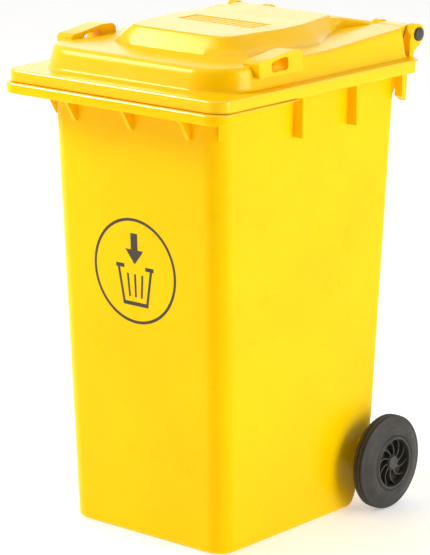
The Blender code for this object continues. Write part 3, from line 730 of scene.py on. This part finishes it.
# ---- studio ---------------------------------------------------------------------
@dataclass(frozen=True)
class Softbox:
    """A large rectangular studio light.

    Attributes:
        name: What it does.
        place: Where it stands, in metres.
        size: Width and height in metres.
        power: Watts.
        colour: sRGB hex.
    """

    name: str
    place: tuple[float, float, float]
    size: tuple[float, float]
    power: float
    colour: str = "#FFFFFF"

    def build(self, target: Vector) -> bpy.types.Object:
        """Put the light up, facing a point.

        Args:
            target: Point that it faces.

        Returns:
            The light.
        """
        lamp = bpy.data.lights.new(self.name, "AREA")
        lamp.shape = "RECTANGLE"
        lamp.size, lamp.size_y = self.size
        lamp.energy = self.power
        lamp.color = linear(self.colour)[:3]
        box = bpy.data.objects.new(self.name, lamp)
        box.location = self.place
        box.rotation_euler = (target - box.location).to_track_quat("-Z", "Y").to_euler()
        bpy.context.scene.collection.objects.link(box)
        return box


@dataclass
class Studio:
    """Pale floor, soft light and the camera.

    Attributes:
        floor_m: Radius of the floor.
        floor_glow: Light that the floor gives of itself, so that it stays pale far away.
        air_level: Soft light from all round, and its level on the unlit side of the studio.
        dark_side: Where the unlit side of the studio lies.
        lens_mm: Focal length on a 36 mm sensor.
        camera_place: Where the camera stands, in metres.
        camera_aim: The way that it looks.
    """

    floor_m: float = 30.0
    floor_glow: float = 0.33
    air_level: tuple[float, float] = (0.78, 0.1)
    dark_side: tuple[float, float, float] = (0.65, -0.76, 0.05)
    lens_mm: float = 187.48
    camera_place: tuple[float, float, float] = (3.7430, -4.4306, 1.9810)
    camera_aim: tuple[float, float, float] = (-0.62894, 0.73671, -0.24838)
    softboxes: tuple[Softbox, ...] = (
        Softbox("high left front softbox", (-3.0, -2.3, 3.3), (1.6, 1.6), 185.0, "#FFF4E4"),
        Softbox("right softbox", (4.4, 0.9, 1.5), (2.2, 2.8), 112.0, "#FFFFFF"),
        Softbox("back left softbox", (-2.6, 3.2, 1.6), (3.2, 2.2), 16.0, "#FFFFFF"),
    )

    def floor(self) -> None:
        """Lay the round floor."""
        bm = bmesh.new()
        bmesh.ops.create_circle(bm, cap_ends=True, segments=96, radius=self.floor_m)
        bmesh.ops.translate(bm, verts=bm.verts, vec=(0.0, 0.0, CAD_BOX[0].z - 0.3 * MM))
        mesh = bpy.data.meshes.new("studio_floor")
        bm.to_mesh(mesh)
        bm.free()
        ground = bpy.data.objects.new("studio_floor", mesh)
        paint = SWEEP.build()
        surface = paint.node_tree.nodes["Principled BSDF"]
        surface.inputs["Emission Color"].default_value = linear("#FFFFFF")
        surface.inputs["Emission Strength"].default_value = self.floor_glow
        mesh.materials.append(paint)
        bpy.context.scene.collection.objects.link(ground)

    def air(self) -> None:
        """Soft, even light from all round, and a white backdrop behind everything."""
        world = bpy.data.worlds.new("studio air")
        world.use_nodes = True
        tree = world.node_tree
        tree.nodes.clear()
        sky = add_node(tree, "ShaderNodeTexCoord")
        facing = add_node(tree, "ShaderNodeVectorMath", {"operation": "DOT_PRODUCT", 1: self.dark_side},
                          {0: sky.outputs["Generated"]})
        level = add_node(tree, "ShaderNodeMapRange",
                         {"interpolation_type": "SMOOTHSTEP", "From Min": 0.1, "From Max": 1.0,
                          "To Min": self.air_level[0], "To Max": self.air_level[1]},
                         {"Value": facing.outputs["Value"]})
        fill = add_node(tree, "ShaderNodeBackground", {"Color": linear("#FFFFFF")},
                        {"Strength": level.outputs["Result"]})
        back = add_node(tree, "ShaderNodeBackground", {"Color": linear("#FFFFFF"), "Strength": 1.0})
        seen = add_node(tree, "ShaderNodeLightPath")
        pick = add_node(tree, "ShaderNodeMixShader", None, {0: seen.outputs["Is Camera Ray"], 1: fill.outputs[0],
                                                            2: back.outputs[0]})
        add_node(tree, "ShaderNodeOutputWorld", None, {"Surface": pick.outputs[0]})
        bpy.context.scene.world = world

    def camera(self) -> None:
        """Stand the camera where it sees the near corner from slightly above."""
        lens = bpy.data.cameras.new("studio camera")
        lens.lens = self.lens_mm
        lens.sensor_width = 36.0
        lens.clip_end = 200.0
        stand = bpy.data.objects.new("studio camera", lens)
        stand.location = self.camera_place
        stand.rotation_euler = Vector(self.camera_aim).to_track_quat("-Z", "Y").to_euler()
        bpy.context.scene.collection.objects.link(stand)
        bpy.context.scene.camera = stand

    def build(self) -> None:
        """Set the whole studio up."""
        low, high = CAD_BOX
        target = (low + high) / 2
        self.camera()
        self.floor()
        self.air()
        for softbox in self.softboxes:
            softbox.build(target)
        view = bpy.context.scene.view_settings
        view.view_transform = "Standard"
        view.look = "None"
        LOG.info("studio: floor, %d softboxes and camera", len(self.softboxes))


def main() -> None:
    """Build every sub-assembly in order, then the studio."""
    logging.basicConfig(level=logging.INFO, format="%(name)s: %(message)s")
    Container().build()
    Lid().build()
    PrintedSign().build()
    for side in Side:
        HingeSide(side).build()
        Wheel(side).build()
    Axle().build()
    Studio().build()


if __name__ == "__main__":
    main()
